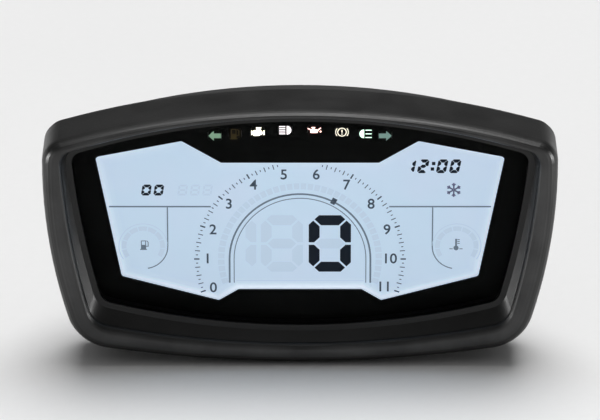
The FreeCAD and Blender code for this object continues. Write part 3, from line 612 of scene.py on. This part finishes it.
def paint_nodes():
    # The housing's foremost edge gets a painted highlight, a lighter grey along its crest.
    housing = grained("moulded_black", (0.0055, 0.0055, 0.0054), 0.38, grain=0.55, depth=0.045, uneven=0.25,
                      crest_highlight=(0.05, 0.05, 0.05), Specular_IOR_Level=0.35)
    paint(housing, "front_bezel")
    paint(grained("moulded_black_rear", (0.012, 0.012, 0.012), 0.5, grain=0.5, depth=0.04), "rear_case")
    paint(grained("spacer_black", (0.004, 0.004, 0.004), 0.5, Specular_IOR_Level=0.2), "lens_spacer")
    paint(clear("lens_clear", 0.0, shine=0.2), "lens")
    rubber = grained("seal_rubber", (0.013, 0.013, 0.013), 0.78, grain=0.25, depth=0.03, uneven=0.3)
    paint(rubber, "lens_gasket", "case_gasket", "socket_seal", "lcd_cushion", "vent_cap", "isolator_grommets")
    mask = grained("mask_black", (0.0058, 0.0062, 0.0060), 0.4, grain=4.0, depth=0.0, Specular_IOR_Level=0.02)
    paint(mask, "dial_mask")
    tints = {"windows_green": (0.006, 0.009, 0.007), "windows_amber": (0.009, 0.008, 0.006),
             "window_white": (0.008, 0.008, 0.008), "window_red": (0.010, 0.006, 0.006)}
    for name, tint in tints.items():
        paint(grained("smoked_" + name, tint, 0.4, grain=4.0, depth=0.0, Specular_IOR_Level=0.04),
              "tell_tale_" + name)
    film = grained("white_film", (0.78, 0.79, 0.80), 0.4, depth=0.004, uneven=0.03)
    paint(film, "tell_tale_diffuser", "diffuser_sheet", "reflector_sheet")
    white = grained("white_plastic", (0.72, 0.73, 0.73), 0.45, uneven=0.04)
    paint(white, "tell_tale_light_box", "backlight_tray", "flex_connector")
    paint(grained("lamp_resin", (0.80, 0.74, 0.42), 0.3, uneven=0.08), "tell_tale_leds", "backlight_leds")
    paint(grained("rear_polarizer", (0.33, 0.40, 0.47), 0.35, depth=0.003, uneven=0.05), "lcd_rear_polarizer")
    pane = clear("display_glass", 0.035, (0.93, 0.97, 0.96))
    paint(pane, "lcd_front_glass", "lcd_rear_glass")
    paint(clear("acrylic", 0.035, (0.95, 0.98, 1.0)), "light_guide")
    paint(grained("flex_film", (0.34, 0.16, 0.04), 0.35, depth=0.006, uneven=0.2), "lcd_flex_cable")
    paint(grained("solder_mask", (0.012, 0.11, 0.045), 0.33, grain=0.6, depth=0.01, uneven=0.35, patches=5.0),
          "main_board")
    resin = grained("chip_resin", (0.016, 0.016, 0.018), 0.6, grain=0.2, depth=0.02)
    paint(resin, "lcd_driver_chip", "microcontroller", "display_driver", "bus_transceiver", "power_regulator")
    paint(grained("ferrite", (0.05, 0.05, 0.055), 0.65, grain=0.3, depth=0.03), "power_inductor")
    paint(grained("passive_ceramic", (0.32, 0.22, 0.13), 0.5), "chip_passives")
    brushed = dict(metallic=1.0, depth=0.006, uneven=0.1)
    paint(grained("can_aluminium", (0.72, 0.73, 0.75), 0.3, stretch=(1, 6, 1), **brushed),
          "smoothing_capacitors", "quartz_crystal")
    paint(grained("socket_plastic", (0.024, 0.024, 0.026), 0.45, grain=0.3), "loom_socket")
    paint(grained("contact_tin", (0.78, 0.66, 0.40), 0.28, **brushed), "loom_pins")
    zinc = grained("zinc_steel", (0.62, 0.63, 0.64), 0.32, grain=0.25, metallic=1.0, depth=0.012, uneven=0.2,
                   patches=3.0)
    paint(zinc, "mount_bushes", "board_screws")
    black_zinc = grained("black_zinc", (0.06, 0.06, 0.065), 0.38, metallic=0.9, depth=0.012, uneven=0.2)
    paint(black_zinc, "case_screws")
    paint(grained("membrane", (0.66, 0.66, 0.65), 0.8, grain=0.15, depth=0.02), "vent_membrane")
    paint(grained("label_film", (0.50, 0.51, 0.52), 0.35, depth=0.004, uneven=0.05), "rating_label")


# ------------------------------------------------------------------ studio
FLOOR_HALF = 4.0
FLOOR_GAP = 0.0002  # below the lowest point of the housing
WORLD_TONES = [(0.0, 0.85), (0.08, 0.42), (0.2, 0.05), (0.6, 0.12), (1.0, 0.4)]  # height and brightness
SUN_TILT = (math.radians(-17), math.radians(4), 0)
STRIP_SPOT = (0.55, -0.14, 0.0)  # of the strip light on the right
STRIP_SIZE = (0.1, 0.14)
STRIP_POWER = 2.0


def studio_floor(z):
    mesh = bmesh.new()
    bmesh.ops.create_grid(mesh, x_segments=8, y_segments=8, size=FLOOR_HALF)
    data = bpy.data.meshes.new("floor")
    mesh.to_mesh(data)
    mesh.free()
    floor = bpy.data.objects.new("floor", data)
    floor.location = (0, 0, z)
    data.materials.append(grained("studio_floor", (0.84, 0.84, 0.84), 0.6, grain=3.0, depth=0.02,
                                  patches=300.0, uneven=0.01))
    bpy.context.scene.collection.objects.link(floor)
    return floor


def studio_world():
    """Bright at the horizon, and dark above it where the housing's top would mirror it."""
    world = bpy.data.worlds.new("studio")
    world.use_nodes = True
    tree = world.node_tree
    rise = put(tree, "SeparateXYZ", {"Vector": put(tree, "TexCoord").outputs["Generated"]}).outputs["Z"]
    sky = put(tree, "ValToRGB", {"Fac": rise})
    stops = sky.color_ramp.elements
    for stop, (_, tone) in zip(stops, (WORLD_TONES[0], WORLD_TONES[-1])):
        stop.color = opaque((tone, tone, tone))
    for height, tone in WORLD_TONES[1:-1]:
        stops.new(height).color = opaque((tone, tone, tone))
    tree.links.new(sky.outputs["Color"], tree.nodes["Background"].inputs["Color"])
    bpy.context.scene.world = world


def sun():
    light = bpy.data.lights.new("soft_top", "SUN")
    light.energy, light.angle = 2.7, math.radians(42)
    holder = bpy.data.objects.new("soft_top", light)
    holder.rotation_euler = SUN_TILT
    bpy.context.scene.collection.objects.link(holder)


def strip_light(name, side, aim, spared):
    """An upright light beside the housing. It doesn't light the objects in the collection spared."""
    data = bpy.data.lights.new(name, "AREA")
    data.shape, data.energy = "RECTANGLE", STRIP_POWER
    data.size, data.size_y = STRIP_SIZE
    made = bpy.data.objects.new(name, data)
    made.location = (side * STRIP_SPOT[0], *STRIP_SPOT[1:])
    made.rotation_euler = (aim - made.location).to_track_quat("-Z", "Y").to_euler()
    made.light_linking.receiver_collection = spared
    bpy.context.scene.collection.objects.link(made)


def studio():
    low, high = CAD_BOX
    floor = studio_floor(low.z - FLOOR_GAP)
    studio_world()
    bpy.context.scene.view_settings.view_transform = "Standard"
    sun()
    spared = bpy.data.collections.new("spared_by_strips")
    spared.objects.link(floor)
    spared.collection_objects[0].light_linking.link_state = "EXCLUDE"
    for side, name in ((-1, "left_strip"), (1, "right_strip")):
        strip_light(name, side, (low + high) / 2, spared)


CAMERA_ELEVATION = 23.0  # degrees above the display's normal
CAMERA_DISTANCE = 1.67
CAMERA_LENS = 300.0


def camera():
    low, high = CAD_BOX
    centre = (low + high) / 2
    rise = math.radians(CAMERA_ELEVATION)
    data = bpy.data.cameras.new("camera")
    data.lens, data.sensor_width, data.clip_end = CAMERA_LENS, 36.0, 20.0
    made = bpy.data.objects.new("camera", data)
    made.location = centre + CAMERA_DISTANCE * Vector((0, -math.cos(rise), math.sin(rise)))
    made.rotation_euler = (centre - made.location).to_track_quat("-Z", "Y").to_euler()
    bpy.context.scene.collection.objects.link(made)
    bpy.context.scene.camera = made


camera()
studio()
display_film()
display_picture()
warning_lights()
back_marks()
paint_nodes()
